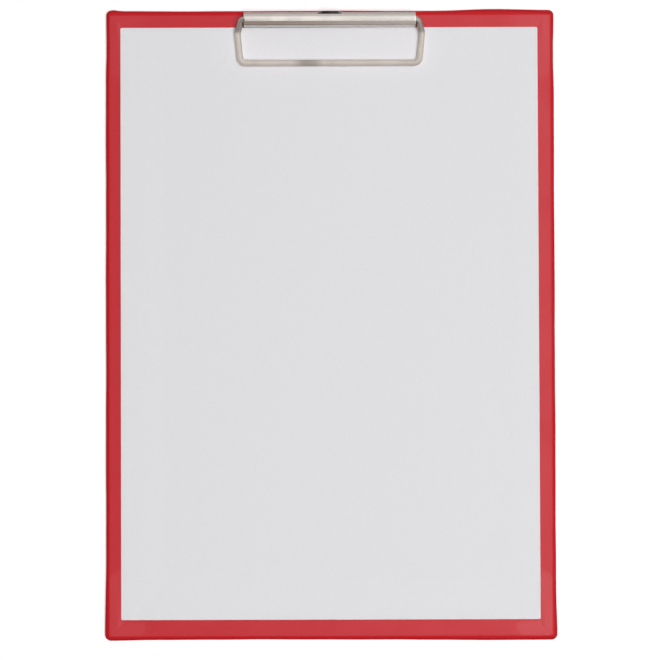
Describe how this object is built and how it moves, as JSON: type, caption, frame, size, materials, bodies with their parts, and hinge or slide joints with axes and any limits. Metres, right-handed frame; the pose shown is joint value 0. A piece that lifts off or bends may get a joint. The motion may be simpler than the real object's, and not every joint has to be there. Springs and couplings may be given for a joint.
{
  "type": "clipboard",
  "caption": "Film-wrapped clipboard for A4 sheets with a white writing face, a sprung wire bail under a crowned metal cover and a fold-out hanging eyelet.",
  "frame": {"origin": "middle of the back face, on the surface that the board lies on", "axes": "+X across the board, +Y towards the clip edge, +Z out of the writing face"},
  "size_m": [0.2256, 0.3162, 0.0107],
  "materials": {
    "greyboard": "raw greyboard",
    "red_film": "satin plastic film with a fine grain",
    "white_paper": "smooth uncoated white paper",
    "nickel": "bright nickel plate",
    "zinc": "zinc-plated steel sheet",
    "spring_steel": "drawn spring wire",
    "black_steel": "blackened steel"
  },
  "bodies": {
    "board": {"core_board": "greyboard", "cover_foil": "red_film", "lining_sheet": "white_paper", "clip_bar": "nickel", "base_plate": "zinc", "spring_left": "spring_steel", "spring_right": "spring_steel", "rivet_left": "nickel", "rivet_right": "nickel", "hanger_pin": "zinc"},
    "bail": {"wire_bail": "nickel"},
    "eyelet": {"hanger": "black_steel"}
  },
  "joints": [
    {"name": "bail_lift", "type": "hinge", "parent": "board", "child": "bail", "pos_m": [0, 0.15255, 0.00755], "axis": [-1, 0, 0], "range_deg": [0, 100], "stiffness_Nm_per_rad": 0.08, "springref_deg": -137.51, "deforming": ["spring_left", "spring_right"]},
    {"name": "hanger_fold", "type": "hinge", "parent": "board", "child": "eyelet", "pos_m": [0, 0.1562, 0.0036], "axis": [-1, 0, 0], "range_deg": [0, 90]}
  ]
}
